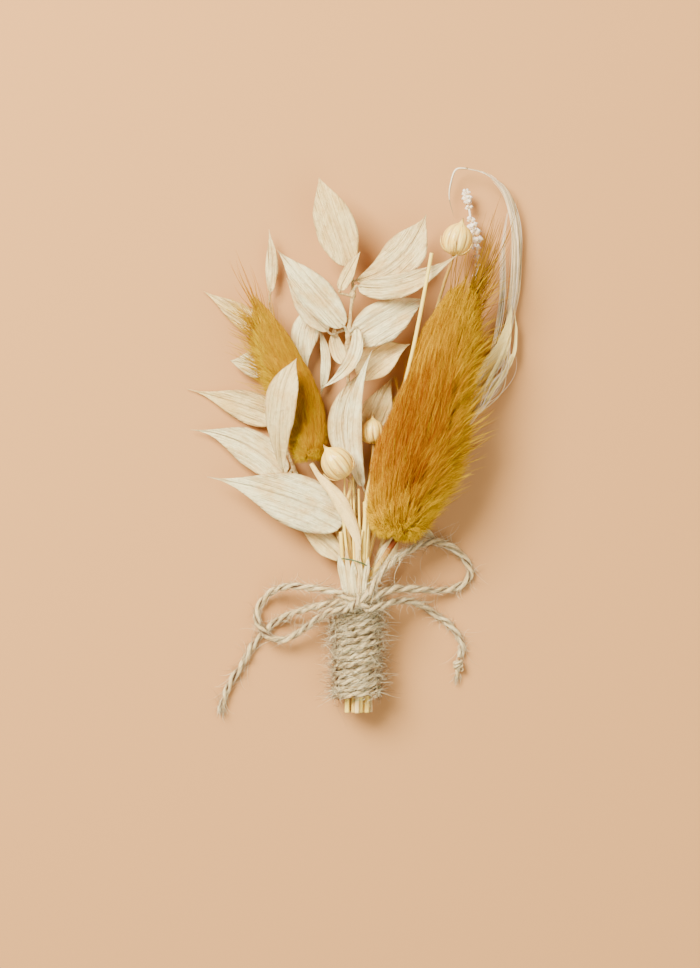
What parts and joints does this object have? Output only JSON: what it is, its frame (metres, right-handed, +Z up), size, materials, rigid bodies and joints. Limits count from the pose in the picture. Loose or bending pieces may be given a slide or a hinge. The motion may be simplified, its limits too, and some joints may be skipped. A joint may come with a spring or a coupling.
{
  "type": "boutonniere",
  "caption": "Dried-flower boutonniere: bleached ruscus, golden bunny tails, flax pods, heather and feather grass, wound with jute twine and tied in a bow.",
  "frame": {"origin": "Under the middle of the boutonniere, on the surface that it lies on.", "axes": "+X is to the right seen from above, +Y runs from the cut stems to the tips, and +Z is up from the surface that it lies on."},
  "size_m": [0.0846, 0.1377, 0.0232],
  "materials": {
    "leaf": "satin",
    "pod": "satin",
    "straw": "satin",
    "heather": "matte",
    "grass": "satin",
    "jute": "matte",
    "wire": "satin",
    "mustard_fluff": "matte",
    "ochre_fluff": "matte"
  },
  "bodies": {
    "root": {"ruscus_centre": "leaf", "ruscus_left": "leaf", "ruscus_back": "leaf", "ruscus_right": "leaf", "flax_front": "pod", "flax_middle": "pod", "flax_top": "pod", "straw_long": "straw", "straw_short": "straw", "heather_sprig": "heather", "feather_grass": "grass", "twine_winding": "jute", "bow_knot": "jute", "bow_loop_left": "jute", "bow_loop_right": "jute", "bow_tail_left": "jute", "bow_tail_right": "jute", "bow_tail_knot": "jute", "binding_wire": "wire", "bunny_tail_left_stem": "straw", "bunny_tail_right_stem": "ochre_fluff", "bunny_tail_left_head": "mustard_fluff", "bunny_tail_right_head": "ochre_fluff"}
  },
  "joints": []
}
